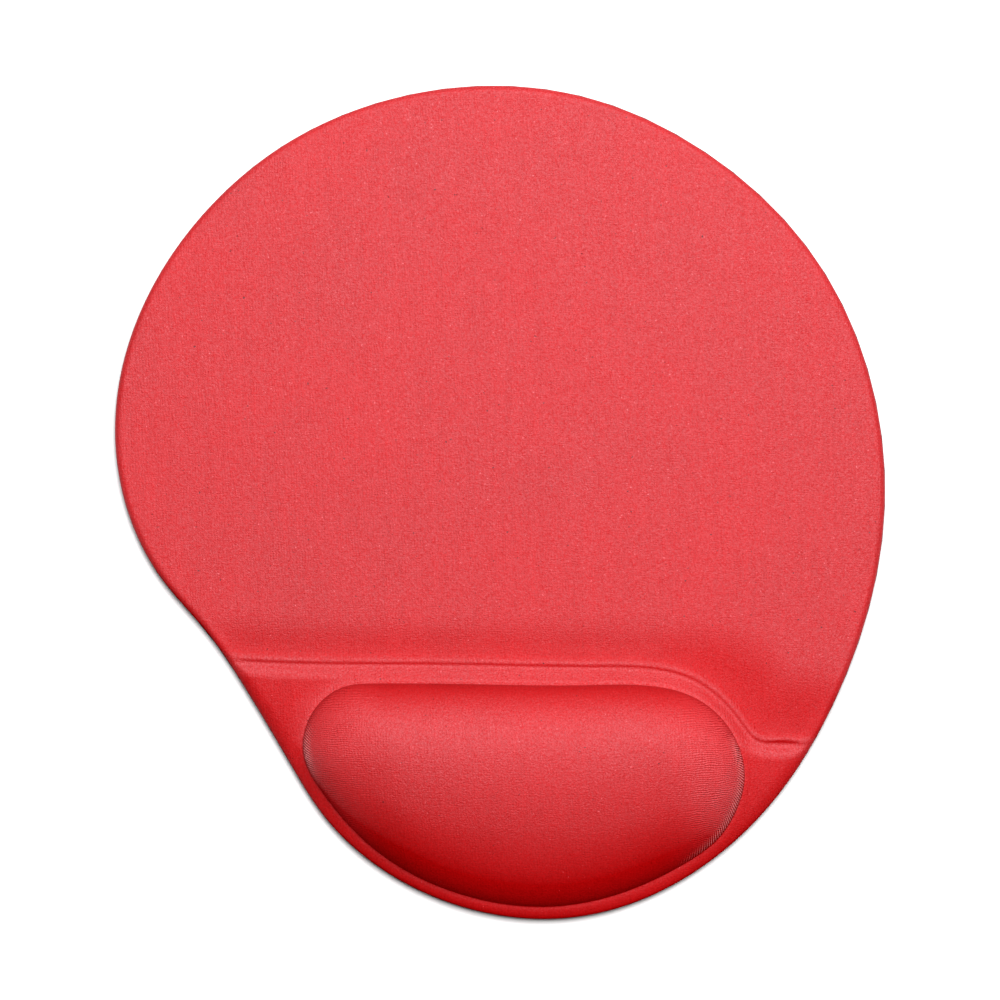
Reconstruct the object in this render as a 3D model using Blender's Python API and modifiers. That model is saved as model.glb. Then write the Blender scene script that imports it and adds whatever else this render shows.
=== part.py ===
"""Mouse pad with a built-in gel wrist cushion, as its separate layers.

Metres, +Z up. The origin is at the centre of the underside. +Y points to the back, away from the user,
and the wrist cushion lies at the front. From the top down the layers are the knit cover, the gel pouch
(blister film, gel, flat film), two foam cores that meet under the crease, and the non-slip base sheet.
A gap of GLUE_GAP stands for the thin glue line between two layers that are bonded.
"""

import math

import bmesh
import bpy
import numpy as np
from mathutils import Vector
from mathutils.geometry import delaunay_2d_cdt

# Layer thicknesses, and the extra room that coarse facets need under a curved layer
GLUE_GAP = 0.0003
FACET_ROOM = 0.0002
CLOTH_THICKNESS = 0.0006
FILM_THICKNESS = 0.0003
BASE_THICKNESS = 0.0012
BASE_EDGE_RADIUS = 0.0003

# Heights of the cover's outer face above the desk
PAD_TOP = 0.0050
SKIRT_TOP = 0.0028
FOOT_BACK = 0.0070
FOOT_FRONT = 0.0056
CROWN_TOP = 0.0210

# The rolled edge: how far in from the side the roll reaches, beside the pad and beside the wrist block
COVER_SETBACK = 0.0003
PAD_ROLL = 0.0022
BLOCK_ROLL = 0.0036

# The crease between the pad and the wrist block, and the ledge that rises from it to the cushion
GROOVE_DEPTH = 0.0006
GROOVE_HALF_WIDTH = 0.0008
LEDGE_WIDTH = 0.0047

# The cushion is highest along a straight crown line, and falls from there to its border all round
CROWN_LEFT, CROWN_RIGHT = -0.0280, 0.0430
CROWN_Y = -0.0743
DOME_POWER = 2.15
TURN_SCALE = 0.0300  # length that stands for one radian where the border is followed round the crown's ends

# The foams and the pouch lie under the cloth, and the foams end on either side of the crease
UNDER_CLOTH = CLOTH_THICKNESS + GLUE_GAP + FACET_ROOM
CREASE_FOAM_GAP = 0.0013

# The gel pouch sits in a shallow seat in the wrist foam
GEL_INSET = UNDER_CLOTH + FILM_THICKNESS + GLUE_GAP + FACET_ROOM
FLANGE_WIDTH = 0.0006
FLANGE_DROP = 0.0014
GEL_EDGE_RISE = 0.0004

MM = 0.001
OUTLINE_POINTS = [
    (115.5, -1.0), (100.5, -59.5), (79.5, -92.5), (21.5, -124.5), (-52.5, -94.5), (-63.5, -77.5),
    (-78.5, -52.5), (-87.5, -39.5), (-101.5, -23.0), (-115.5, 18.0), (-109.5, 53.5), (-85.5, 90.5),
    (-63.0, 108.5), (24.5, 122.0), (58.0, 107.5), (95.5, 72.0),
]
CUSHION_POINTS = [
    (-38.0, -54.0), (-8.5, -54.2), (25.5, -54.5), (47.0, -55.0), (56.5, -57.5), (67.0, -65.5),
    (73.0, -82.0), (70.5, -92.0), (66.0, -99.5), (55.5, -107.7), (21.5, -120.2), (-13.5, -116.5),
    (-37.0, -104.0), (-53.0, -86.5), (-58.7, -74.0), (-57.5, -66.0), (-53.5, -59.5), (-45.5, -54.7),
]
CREASE_POINTS = [
    (-84.0, -47.2), (-64.0, -48.2), (-22.0, -48.6), (30.0, -49.4), (45.0, -49.9), (58.0, -53.4),
    (66.0, -59.2), (71.5, -65.6), (76.5, -71.2), (83.5, -72.3), (97.0, -72.8),
]

OUTLINE_COUNT = 72
CUSHION_COUNT = 54
CREASE_COUNT = 46
ROLL_STEPS = (0.0007, 0.0015, 0.0026, 0.0040)  # lines round the rolled edge
WALL_STEPS = (-0.0004, 0.0, 0.0004, 0.0012, 0.0026, 0.0048, 0.0080)  # lines round the cushion's wall
DOME_GRID = 0.0070  # spacing of the points that carry the dome's top in each layer
PAD_GRID = 0.0300
POINT_SPACING = 0.0003  # two points of a surface are never nearer than this in the plan
WELD_DISTANCE = 0.00001
SHARP_ANGLE = math.radians(40)
FLAT_ANGLE = math.radians(0.3)  # faces that bend less than this are joined
CURVE_SAMPLES = 8  # each spline is worked out this many times finer than the loops made from it


# ---------------------------------------------------------------- plan curves


def spline_curvature(points, gaps, closed):
    """Second derivatives of the cubic spline through the points, with the chords as its parameter."""
    count = len(points)
    matrix = np.eye(count)
    right = np.zeros((count, 2))
    inner = range(count) if closed else range(1, count - 1)
    for i in inner:
        before, after = (i - 1) % count, (i + 1) % count
        matrix[i, i] = 2 * (gaps[before] + gaps[i])
        matrix[i, before] = gaps[before]
        matrix[i, after] = gaps[i]
        ahead = (points[after] - points[i]) / gaps[i]
        behind = (points[i] - points[before]) / gaps[before]
        right[i] = 6 * (ahead - behind)
    return np.linalg.solve(matrix, right)


def spline(points, count, closed=True):
    """Evenly spaced points along the smooth curve through the given ones."""
    points = np.array(points) * MM
    ends = np.roll(points, -1, axis=0)
    gaps = np.linalg.norm(ends - points, axis=1)
    bend = spline_curvature(points, gaps, closed)
    spans = len(points) if closed else len(points) - 1
    dense = []
    for i in range(spans):
        after, gap = (i + 1) % len(points), gaps[i]
        for ahead in np.linspace(0, gap, count * CURVE_SAMPLES // spans, endpoint=False):
            behind = gap - ahead
            cubic = (bend[i] * behind**3 + bend[after] * ahead**3) / (6 * gap)
            start = (points[i] / gap - bend[i] * gap / 6) * behind
            end = (points[after] / gap - bend[after] * gap / 6) * ahead
            dense.append(cubic + start + end)
    dense.append(points[0] if closed else points[-1])
    dense = np.array(dense)
    walked = np.concatenate([[0], np.cumsum(np.linalg.norm(np.diff(dense, axis=0), axis=1))])
    stops = np.linspace(0, walked[-1], count, endpoint=not closed)
    return np.column_stack([np.interp(stops, walked, dense[:, axis]) for axis in (0, 1)])


def offset(curve, distance, closed=True):
    """The curve moved to its right by distance: into a closed loop that runs clockwise."""
    if closed:
        along = np.roll(curve, -1, axis=0) - np.roll(curve, 1, axis=0)
    else:
        along = np.gradient(curve, axis=0)
    along /= np.linalg.norm(along, axis=1)[:, None]
    return curve + distance * np.column_stack([along[:, 1], -along[:, 0]])


def clockwise(curve):
    after = np.roll(curve, -1, axis=0)
    area = np.sum(curve[:, 0] * after[:, 1] - curve[:, 1] * after[:, 0])
    return curve[::-1] if area > 0 else curve


def centred(curve):
    """The loop with the middle of its box at the origin."""
    return curve - (curve.min(axis=0) + curve.max(axis=0)) / 2


def distance_right(points, curve, closed=True):
    """Distance of each point from the curve, positive on its right."""
    starts = curve if closed else curve[:-1]
    ends = np.roll(curve, -1, axis=0) if closed else curve[1:]
    along = ends - starts
    away = points[:, None, :] - starts[None, :, :]
    share = np.clip((away * along).sum(axis=2) / (along**2).sum(axis=1), 0, 1)
    apart = away - share[:, :, None] * along
    lengths = np.linalg.norm(apart, axis=2)
    nearest = lengths.argmin(axis=1)
    rows = np.arange(len(points))
    side = along[nearest, 1] * apart[rows, nearest, 0] - along[nearest, 0] * apart[rows, nearest, 1]
    return np.where(side >= 0, 1, -1) * lengths[rows, nearest]


OUTLINE = clockwise(centred(spline(OUTLINE_POINTS, OUTLINE_COUNT)))
CUSHION = clockwise(spline(CUSHION_POINTS, CUSHION_COUNT))
CREASE = spline(CREASE_POINTS, CREASE_COUNT, closed=False)


# ---------------------------------------------------------------- heights over the plan


def smoothstep(value):
    value = np.clip(value, 0, 1)
    return value * value * (3 - 2 * value)


def quarter_round(share):
    """0 to 1 along a quarter circle: steep at the start, level at the end."""
    return np.sqrt(1 - (1 - np.clip(share, 0, 1)) ** 2)


BLOCK_SLOPE = (FOOT_BACK - FOOT_FRONT) / (CUSHION[:, 1].max() - CUSHION[:, 1].min())


def foot_height(points):
    """The sloping face that the cushion stands on."""
    return FOOT_BACK + BLOCK_SLOPE * (points[:, 1] - CUSHION[:, 1].max())


def around_crown(points):
    """How far round the crown line each point lies, clockwise, and its distance from the line."""
    nearest = np.clip(points[:, 0], CROWN_LEFT, CROWN_RIGHT)
    across, along = points[:, 0] - nearest, points[:, 1] - CROWN_Y
    turn = np.arctan2(across, along)
    length = CROWN_RIGHT - CROWN_LEFT
    right_end = length + TURN_SCALE * turn
    left_end = 2 * length + TURN_SCALE * (2 * math.pi + turn)
    in_front = length + TURN_SCALE * math.pi + CROWN_RIGHT - nearest
    behind = nearest - CROWN_LEFT
    place = np.select([across > 0, across < 0, along < 0], [right_end, left_end, in_front], behind)
    return place, np.hypot(across, along)


def dome_height(points, inset, base):
    """The cushion's face moved in by inset, standing on the height base."""
    border_places, border_distances = around_crown(CUSHION)
    places, distances = around_crown(points)
    whole_turn = 2 * (CROWN_RIGHT - CROWN_LEFT) + 2 * math.pi * TURN_SCALE
    reach = np.interp(places, border_places, border_distances, period=whole_turn) - inset
    share = np.clip(distances / reach, 0, 1)
    return base + (CROWN_TOP - inset - base) * np.sqrt(1 - share**DOME_POWER)


def block_height(points, inset=0.0):
    """The face of the pad and the wrist block without the cushion, moved in by inset."""
    edge = distance_right(points, OUTLINE) - COVER_SETBACK - inset
    front = distance_right(points, CREASE, closed=False)
    rise = smoothstep(front / LEDGE_WIDTH)
    level = PAD_TOP + (foot_height(points) - PAD_TOP) * rise
    groove = np.clip(1 - np.abs(front) / GROOVE_HALF_WIDTH, 0, 1)
    level -= GROOVE_DEPTH * groove * smoothstep(edge / LEDGE_WIDTH)
    roll = quarter_round(edge / (PAD_ROLL + (BLOCK_ROLL - PAD_ROLL) * rise))
    return SKIRT_TOP + (level - SKIRT_TOP) * roll - inset


def pad_height(points, inset):
    """The pad's face continued over the whole outline, moved in by inset."""
    edge = distance_right(points, OUTLINE) - COVER_SETBACK - inset
    return SKIRT_TOP + (PAD_TOP - SKIRT_TOP) * quarter_round(edge / PAD_ROLL) - inset


def cover_height(points):
    block = block_height(points)
    inside = distance_right(points, CUSHION) > 0
    return np.where(inside, dome_height(points, 0.0, block), block)


def flange_height(points):
    """Top face of the gel pouch's flange."""
    return foot_height(points) - FLANGE_DROP


# ---------------------------------------------------------------- objects and materials


def clear_scene():
    for old in list(bpy.data.objects):
        bpy.data.objects.remove(old)


def new_collection(name):
    collection = bpy.data.collections.new(name)
    bpy.context.scene.collection.children.link(collection)
    return collection


def new_material(name, colour, roughness, metallic=0.0, alpha=1.0):
    material = bpy.data.materials.new(name)
    material.use_nodes = True
    shader = material.node_tree.nodes["Principled BSDF"]
    shader.inputs["Base Color"].default_value = (*colour, 1.0)
    shader.inputs["Roughness"].default_value = roughness
    shader.inputs["Metallic"].default_value = metallic
    shader.inputs["Alpha"].default_value = alpha
    return material


def finish_object(obj, collection, material):
    collection.objects.link(obj)
    if material is not None:
        obj.data.materials.append(material)
    return obj


def make_cutter(obj):
    obj.hide_render = True
    obj.display_type = "WIRE"
    return obj


def flat_sheet(name, loop, thickness, bottom, collection, material, edge_radius=0.0):
    """A flat outline as a filled 2D curve, extruded to its thickness."""
    curve = bpy.data.curves.new(name, "CURVE")
    curve.dimensions = "2D"
    curve.fill_mode = "BOTH"
    curve.extrude = thickness / 2 - edge_radius
    curve.bevel_depth = edge_radius
    curve.bevel_resolution = 1
    curve.offset = -edge_radius
    line = curve.splines.new("POLY")
    line.points.add(len(loop) - 1)
    for point, (x, y) in zip(line.points, loop):
        point.co = (x, y, 0.0, 1.0)
    line.use_cyclic_u = True
    obj = finish_object(bpy.data.objects.new(name, curve), collection, material)
    obj.location.z = bottom + thickness / 2
    return obj


def curve_to_mesh(obj):
    """Replaces a curve object by a mesh with its caps welded, so that it can be cut or cut others."""
    bpy.context.view_layer.update()
    graph = bpy.context.evaluated_depsgraph_get()
    mesh = bpy.data.meshes.new_from_object(obj.evaluated_get(graph), depsgraph=graph)
    solid = bmesh.new()
    solid.from_mesh(mesh)
    bmesh.ops.remove_doubles(solid, verts=solid.verts, dist=WELD_DISTANCE)
    bmesh.ops.recalc_face_normals(solid, faces=solid.faces)
    solid.to_mesh(mesh)
    solid.free()
    name, matrix, collection = obj.name, obj.matrix_world.copy(), obj.users_collection[0]
    bpy.data.objects.remove(obj)
    made = bpy.data.objects.new(name, mesh)
    made.matrix_world = matrix
    collection.objects.link(made)
    return made


def tilt_to_block(obj, back_height):
    """Lays a flat sheet parallel to the wrist block's slope, at back_height below the cushion's back edge."""
    pivot = CUSHION[:, 1].max()
    angle = math.atan(BLOCK_SLOPE)
    obj.rotation_euler.x = angle
    obj.location.y = pivot * (1 - math.cos(angle))
    obj.location.z = back_height - pivot * math.sin(angle)


# ---------------------------------------------------------------- relief pieces


def grid_inside(loop, step, margin):
    """A staggered grid of points at least margin inside the loop."""
    low, high = loop.min(axis=0), loop.max(axis=0)
    rows = np.arange(low[1], high[1], step * math.sqrt(3) / 2)
    points = []
    for index, y in enumerate(rows):
        for x in np.arange(low[0] + (index % 2) * step / 2, high[0], step):
            points.append((x, y))
    points = np.array(points)
    return points[distance_right(points, loop) > margin]


def ring(loop, distance):
    """A closed line at distance inside the loop, with its first point repeated at its end."""
    moved = offset(loop, distance)
    return np.vstack([moved, moved[:1]])


def stretches(line, keep):
    """The runs of the line's points for which keep is true."""
    cuts = np.flatnonzero(np.diff(keep)) + 1
    runs = zip(np.split(line, cuts), np.split(keep, cuts))
    return [run for run, kept in runs if kept[0]]


def clear_of(points, taken):
    """Which of the points don't crowd the ones already taken."""
    apart = np.linalg.norm(points[:, None, :] - taken[None, :, :], axis=2)
    return apart.min(axis=1) > POINT_SPACING


def relief(loop, lines, grids, height):
    """The inside of the loop as triangles that keep the lines as edges, each point raised to its height."""
    points = np.array(loop)
    edges = [(i, (i + 1) % len(loop)) for i in range(len(loop))]
    for line in lines:
        free = clear_of(line, points)
        index = len(points) - 1 + np.cumsum(free)
        steps = np.flatnonzero(free[:-1] & free[1:])
        edges += [(int(index[i]), int(index[i + 1])) for i in steps]
        points = np.vstack([points, line[free]])
    for grid in grids:
        points = np.vstack([points, grid[clear_of(grid, points)]])
    coords = [Vector(point) for point in points]
    verts, _, faces, *_ = delaunay_2d_cdt(coords, edges, [], 0, WELD_DISTANCE)
    heights = height(np.array([tuple(vert) for vert in verts]))
    centres = np.array([np.mean([tuple(verts[i]) for i in face], axis=0) for face in faces])
    inside = distance_right(centres, loop) > 0
    shape = bmesh.new()
    made = [shape.verts.new((vert.x, vert.y, z)) for vert, z in zip(verts, heights)]
    for face, kept in zip(faces, inside):
        if kept:
            shape.faces.new([made[i] for i in face])
    bmesh.ops.recalc_face_normals(shape, faces=shape.faces)
    if sum(face.normal.z for face in shape.faces) < 0:
        bmesh.ops.reverse_faces(shape, faces=shape.faces)
    return shape


def to_object(name, shape, collection, material):
    mesh = bpy.data.meshes.new(name)
    shape.to_mesh(mesh)
    shape.free()
    mesh.shade_smooth()
    mesh.set_sharp_from_angle(angle=SHARP_ANGLE)
    return finish_object(bpy.data.objects.new(name, mesh), collection, material)


def add_shell(obj, thickness):
    """Thickens an open face inwards."""
    solidify = obj.modifiers.new("thickness", "SOLIDIFY")
    solidify.thickness = thickness
    solidify.offset = -1.0
    solidify.use_quality_normals = True


def close_below(shape, bottom):
    """Makes a solid of an open face by carrying a copy of it down to the height given by bottom."""
    grown = bmesh.ops.extrude_face_region(shape, geom=shape.faces[:], use_keep_orig=True)
    copies = [part for part in grown["geom"] if isinstance(part, bmesh.types.BMVert)]
    heights = bottom(np.array([(vert.co.x, vert.co.y) for vert in copies]))
    for vert, z in zip(copies, heights):
        vert.co.z = z
    bmesh.ops.recalc_face_normals(shape, faces=shape.faces)


def add_cut(obj, cutter):
    cut = obj.modifiers.new(cutter.name, "BOOLEAN")
    cut.operation = "DIFFERENCE"
    cut.object = cutter
    cut.solver = "EXACT"


def merge_flat_faces(obj):
    """Joins the triangles that lie in one plane."""
    planar = obj.modifiers.new("flat_faces", "DECIMATE")
    planar.decimate_type = "DISSOLVE"
    planar.angle_limit = FLAT_ANGLE


# ---------------------------------------------------------------- the pieces


def crease_lines(distances):
    """Lines beside the crease, kept clear of the rolled edge and of the cushion."""
    lines = []
    for distance in distances:
        line = offset(CREASE, distance, closed=False)
        keep = (distance_right(line, OUTLINE) > BLOCK_ROLL) & (distance_right(line, CUSHION) < 0)
        lines += stretches(line, keep)
    return lines


def roll_lines(start):
    """Lines round the rolled edge, kept clear of the cushion."""
    lines = []
    for step in ROLL_STEPS:
        line = ring(OUTLINE, start + step)
        lines += stretches(line, distance_right(line, CUSHION) < -2 * POINT_SPACING)
    return lines


def wall_lines(inset):
    """Lines round the cushion's wall, moved in by inset."""
    return [ring(CUSHION, inset + step) for step in WALL_STEPS]


def make_cover(collection, material):
    """The cloth: one skin over the whole top, down the sides to the base sheet."""
    skirt = offset(OUTLINE, COVER_SETBACK)
    lines = wall_lines(0.0)
    lines += roll_lines(COVER_SETBACK)
    lines += crease_lines((0.0, GROOVE_HALF_WIDTH, -GROOVE_HALF_WIDTH, LEDGE_WIDTH / 2, LEDGE_WIDTH))
    grids = [dome_grid(0.0), grid_inside(OUTLINE, PAD_GRID, PAD_GRID / 3)]
    shape = relief(skirt, lines, grids, cover_height)
    rim = [edge for edge in shape.edges if edge.is_boundary]
    grown = bmesh.ops.extrude_edge_only(shape, edges=rim)
    for part in grown["geom"]:
        if isinstance(part, bmesh.types.BMVert):
            part.co.z = BASE_THICKNESS + GLUE_GAP
    bmesh.ops.recalc_face_normals(shape, faces=shape.faces)
    obj = to_object("cover_cloth", shape, collection, material)
    add_shell(obj, CLOTH_THICKNESS)
    return obj


def foam_solid(name, crease_steps, height, collection, material):
    """A foam sheet over the whole outline, from the base sheet up to just under the cloth."""
    start = COVER_SETBACK + UNDER_CLOTH
    lines = roll_lines(start)
    lines += crease_lines(crease_steps)
    shape = relief(offset(OUTLINE, start), lines, [], lambda points: height(points, UNDER_CLOTH))
    floor = BASE_THICKNESS + GLUE_GAP
    close_below(shape, lambda points: np.full(len(points), floor))
    return to_object(name, shape, collection, material)


def region_cutter(name, distance, side_y, cutters):
    """A block over everything on one side of the crease, as far as distance from it."""
    line = offset(CREASE, distance, closed=False)
    reach = 2 * abs(side_y)
    ends = [(reach, line[-1, 1]), (reach, side_y), (-reach, side_y), (-reach, line[0, 1])]
    loop = np.vstack([line, ends])
    height = 2 * CROWN_TOP
    return make_cutter(curve_to_mesh(flat_sheet(name, loop, height, -height / 2, cutters, None)))


def make_pad_foam(collection, cutters, material):
    """The thin foam under the mouse surface, cut off just behind the crease."""
    obj = foam_solid("pad_foam", (), pad_height, collection, material)
    side_y = 2 * OUTLINE[:, 1].min()
    add_cut(obj, region_cutter("front_cutter", -CREASE_FOAM_GAP, side_y, cutters))
    merge_flat_faces(obj)
    return obj


def make_wrist_foam(collection, cutters, material):
    """The thicker foam in front of the crease, with a seat for the gel pouch."""
    steps = (CREASE_FOAM_GAP, LEDGE_WIDTH / 2, LEDGE_WIDTH)
    obj = foam_solid("wrist_foam", steps, block_height, collection, material)
    side_y = 2 * OUTLINE[:, 1].max()
    add_cut(obj, region_cutter("back_cutter", CREASE_FOAM_GAP, side_y, cutters))
    loop = offset(CUSHION, -(FLANGE_WIDTH + GLUE_GAP))
    seat = flat_sheet("pouch_seat_cutter", loop, CROWN_TOP, 0.0, cutters, None)
    floor_drop = FLANGE_DROP + 2 * FILM_THICKNESS + 2 * GLUE_GAP
    tilt_to_block(seat, FOOT_BACK - floor_drop + CROWN_TOP / 2)
    add_cut(obj, make_cutter(curve_to_mesh(seat)))
    merge_flat_faces(obj)
    return obj


def dome_grid(inset):
    """Points over the top of the dome, inside its wall lines."""
    return grid_inside(CUSHION, DOME_GRID, inset + WALL_STEPS[-1] + DOME_GRID / 3)


def make_gel_top_film(collection, material):
    """The blister: a thin dome with a flange all round."""

    def height(points):
        return dome_height(points, UNDER_CLOTH, flange_height(points))

    loop = offset(CUSHION, -FLANGE_WIDTH)
    shape = relief(loop, wall_lines(UNDER_CLOTH), [dome_grid(UNDER_CLOTH)], height)
    obj = to_object("gel_top_film", shape, collection, material)
    add_shell(obj, FILM_THICKNESS)
    return obj


def make_gel_core(collection, material):
    """The gel that fills the blister."""

    def bottom(points):
        return flange_height(points) - FILM_THICKNESS

    def height(points):
        return dome_height(points, GEL_INSET, bottom(points) + GEL_EDGE_RISE)

    loop = offset(CUSHION, GEL_INSET)
    inner_lines = wall_lines(GEL_INSET)[WALL_STEPS.index(0.0) + 1 :]
    shape = relief(loop, inner_lines, [dome_grid(GEL_INSET)], height)
    close_below(shape, bottom)
    obj = to_object("gel_core", shape, collection, material)
    merge_flat_faces(obj)
    return obj


def make_gel_bottom_film(collection, material):
    """The pouch's flat lower film, as wide as the blister's flange."""
    loop = offset(CUSHION, -FLANGE_WIDTH)
    obj = flat_sheet("gel_bottom_film", loop, FILM_THICKNESS, 0.0, collection, material)
    middle = FOOT_BACK - FLANGE_DROP - FILM_THICKNESS - GLUE_GAP - FILM_THICKNESS / 2
    tilt_to_block(obj, middle)
    return obj


def make_base_sheet(collection, material):
    """The non-slip sheet under everything, a little wider than the cover."""
    return flat_sheet("base_sheet", OUTLINE, BASE_THICKNESS, 0.0, collection, material, BASE_EDGE_RADIUS)


def main():
    clear_scene()
    pieces = new_collection("wrist_rest")
    cutters = new_collection("cutters")
    cloth = new_material("red_knit", (0.72, 0.045, 0.05), 0.65)
    foam = new_material("cream_foam", (0.78, 0.74, 0.62), 0.9)
    dark_foam = new_material("grey_foam", (0.42, 0.42, 0.43), 0.9)
    film = new_material("clear_film", (0.85, 0.87, 0.88), 0.2, alpha=0.4)
    lower_film = new_material("white_film", (0.9, 0.9, 0.88), 0.35)
    gel = new_material("blue_gel", (0.35, 0.55, 0.75), 0.1)
    rubber = new_material("black_rubber", (0.03, 0.03, 0.032), 0.75)
    make_base_sheet(pieces, rubber)
    make_pad_foam(pieces, cutters, foam)
    make_wrist_foam(pieces, cutters, dark_foam)
    make_gel_bottom_film(pieces, lower_film)
    make_gel_core(pieces, gel)
    make_gel_top_film(pieces, film)
    make_cover(pieces, cloth)


main()
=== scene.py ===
"""Mouse pad with a gel wrist cushion: its knit cover, grip base, materials, light and camera.

Everything is in metres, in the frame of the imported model: the origin at the centre of the underside, +Y to
the back and +Z up. The plan curves repeat those of the CAD source, so that the cover lies in its box.
"""

import math

import bmesh
import bpy
import numpy as np
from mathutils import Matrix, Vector
from mathutils.geometry import delaunay_2d_cdt
from mathutils.kdtree import KDTree


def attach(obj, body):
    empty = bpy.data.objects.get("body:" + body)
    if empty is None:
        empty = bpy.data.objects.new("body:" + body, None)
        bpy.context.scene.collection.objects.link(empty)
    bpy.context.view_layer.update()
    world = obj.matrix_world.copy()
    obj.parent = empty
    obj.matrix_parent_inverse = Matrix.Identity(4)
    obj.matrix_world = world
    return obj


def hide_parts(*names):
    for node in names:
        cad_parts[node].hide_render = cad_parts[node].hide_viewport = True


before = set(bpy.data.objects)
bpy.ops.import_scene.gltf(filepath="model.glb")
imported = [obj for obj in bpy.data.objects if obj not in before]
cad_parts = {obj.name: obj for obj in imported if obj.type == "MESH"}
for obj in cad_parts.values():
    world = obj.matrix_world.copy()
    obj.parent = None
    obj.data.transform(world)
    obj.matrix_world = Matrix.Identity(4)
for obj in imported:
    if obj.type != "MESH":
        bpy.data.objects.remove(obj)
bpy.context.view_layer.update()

MM = 0.001

# ---------------------------------------------------------------- sizes

PAD_TOP = 5.0 * MM  # the flat mouse surface above the desk
SKIRT_TOP = 2.8 * MM  # where the rolled edge begins above the straight side
COVER_BOTTOM = 1.5 * MM
HEM_WIDTH = 0.6 * MM  # the cut edge of the cloth, seen from below
FOOT_BACK = 7.0 * MM  # the face that the cushion stands on, at its back and at its front
FOOT_FRONT = 5.6 * MM
CROWN_TOP = 21.0 * MM

COVER_SETBACK = 0.3 * MM  # from the base sheet's edge to the cover's side
PAD_ROLL = 2.2 * MM
BLOCK_ROLL = 5.6 * MM

LEDGE_WIDTH = 4.7 * MM  # the strip between the crease and the cushion
LEDGE_SHARE = 0.6  # how much of the rise to the block is done on the ledge
SLOW_RISE = 20.0 * MM  # the rest of it takes this far
LIP_RISE = 0.05 * MM
LIP_WIDTH = 2.4 * MM
GROOVE_DEPTH = 0.30 * MM
GROOVE_BACK = 1.0 * MM  # the groove's steep side, below the lip
GROOVE_FRONT = 2.0 * MM  # its soft side, towards the ledge
TROUGH_DEPTH = 0.8 * MM  # the pad sinks a little on its way to the lip
TROUGH_PLACE = 3.8 * MM
TROUGH_REACH = 14.0 * MM
TROUGH_WIDEN = 12.0 * MM  # it reaches further at the right end
TROUGH_WIDE_FROM, TROUGH_WIDE_TO = 40.0 * MM, 85.0 * MM
PLATEAU_FALL = 0.75 * MM  # the block's face sinks towards the outline
PLATEAU_REACH = 15.0 * MM
FOOT_FILLET = 0.45 * MM  # the cloth bridges the corner at the cushion's foot
FOOT_FILLET_REACH = 4.2 * MM
FOOT_FILLET_END = -112.0 * MM  # it has gone at the front
FOOT_FILLET_START = -80.0 * MM
SLIT_X = 84.5 * MM  # the crease opens into a short slit near its right end
SLIT_HALF_LENGTH = 7.0 * MM
SLIT_DEPTH = 0.35 * MM
SLIT_WIDEN = 0.9 * MM

CROWN_LEFT, CROWN_RIGHT = -28.0 * MM, 43.0 * MM  # the line along the cushion's highest points
CROWN_Y = -74.3 * MM
DOME_POWER = 2.15
SOFT_FOOT = 0.025  # how much of the dome's upright foot is left out at the front
TURN_SCALE = 30.0 * MM  # stands for one radian where the border is followed round the crown's ends
VALLEY_DEPTH = 0.15 * MM  # the pressed line round the cushion's foot
VALLEY_HALF_WIDTH = 1.1 * MM

OUTLINE_POINTS = [
    (115.5, -1.0), (100.5, -59.5), (79.5, -92.5), (21.5, -124.5), (-52.5, -94.5), (-63.5, -77.5),
    (-78.5, -52.5), (-87.5, -39.5), (-101.5, -23.0), (-115.5, 18.0), (-109.5, 53.5), (-85.5, 90.5),
    (-63.0, 108.5), (24.5, 122.0), (58.0, 107.5), (95.5, 72.0),
]
CUSHION_POINTS = [
    (-38.0, -54.0), (-8.5, -54.2), (25.5, -54.5), (47.0, -55.0), (56.5, -57.5), (67.0, -65.5),
    (73.0, -82.0), (70.5, -92.0), (66.0, -99.5), (55.5, -107.7), (21.5, -120.2), (-13.5, -116.5),
    (-37.0, -104.0), (-53.0, -86.5), (-58.7, -74.0), (-57.5, -66.0), (-53.5, -59.5), (-45.5, -54.7),
]
CREASE_POINTS = [
    (-84.0, -47.2), (-64.0, -48.2), (-22.0, -48.6), (30.0, -49.4), (45.0, -49.9), (58.0, -53.4),
    (66.0, -59.2), (71.5, -65.6), (76.5, -71.2), (83.5, -72.3), (97.0, -72.8),
]

# The simulation of the cushion's face
SIM_GRID = 2.6 * MM
SIM_LOOP_STEP = 4  # one in this many of the border points is used
SIM_RINGS = [0.5 * MM, 1.3 * MM, 2.6 * MM]
SIM_START = 0.97  # the patch starts at this share of its rise, because it swells
SIM_PRESSURE = 30.0
SIM_FRAMES = 20
SIM_QUALITY = 6
SIM_CAP = 1.2 * MM  # no point moves further than this
SIM_NEIGHBOURS = 6  # points of the patch that move each point of the cover

# The parts of the cover that the hot press has flattened
PRESS_START = LEDGE_WIDTH / 2  # the block is flattened from this far in front of the crease
PRESS_FADE = LEDGE_WIDTH / 1.4
HALO_WIDTH = 4.5 * MM  # the pile stays unpressed this near the cushion's back corners

# The ribs that show where the knit is stretched over the cushion's ends
RIB_FREE = 3.0 * MM  # there are none this near the crown
RIB_ZONE = 22.0 * MM  # they grow over this length beyond the crown
RIB_REACH = 4.5 * MM  # the strongest lie this near the border
RIB_START = 0.5 * MM  # they grow over this width at the border itself
RIB_FRONT_FADE = 28.0 * MM  # they have gone at the front
LEFT_RIBS = 0.6  # they are weaker on the left
RIB_SLANT = 0.6  # how much those at the border lean from square to it
TEETH_FADE = 8.0 * MM  # the strongest begin behind the crown's end and run on to the front right
LEFT_TEETH_REACH = 13.0 * MM  # on the left they lie this near the crown line
RIB_PERIOD = 0.8 * MM

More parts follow.
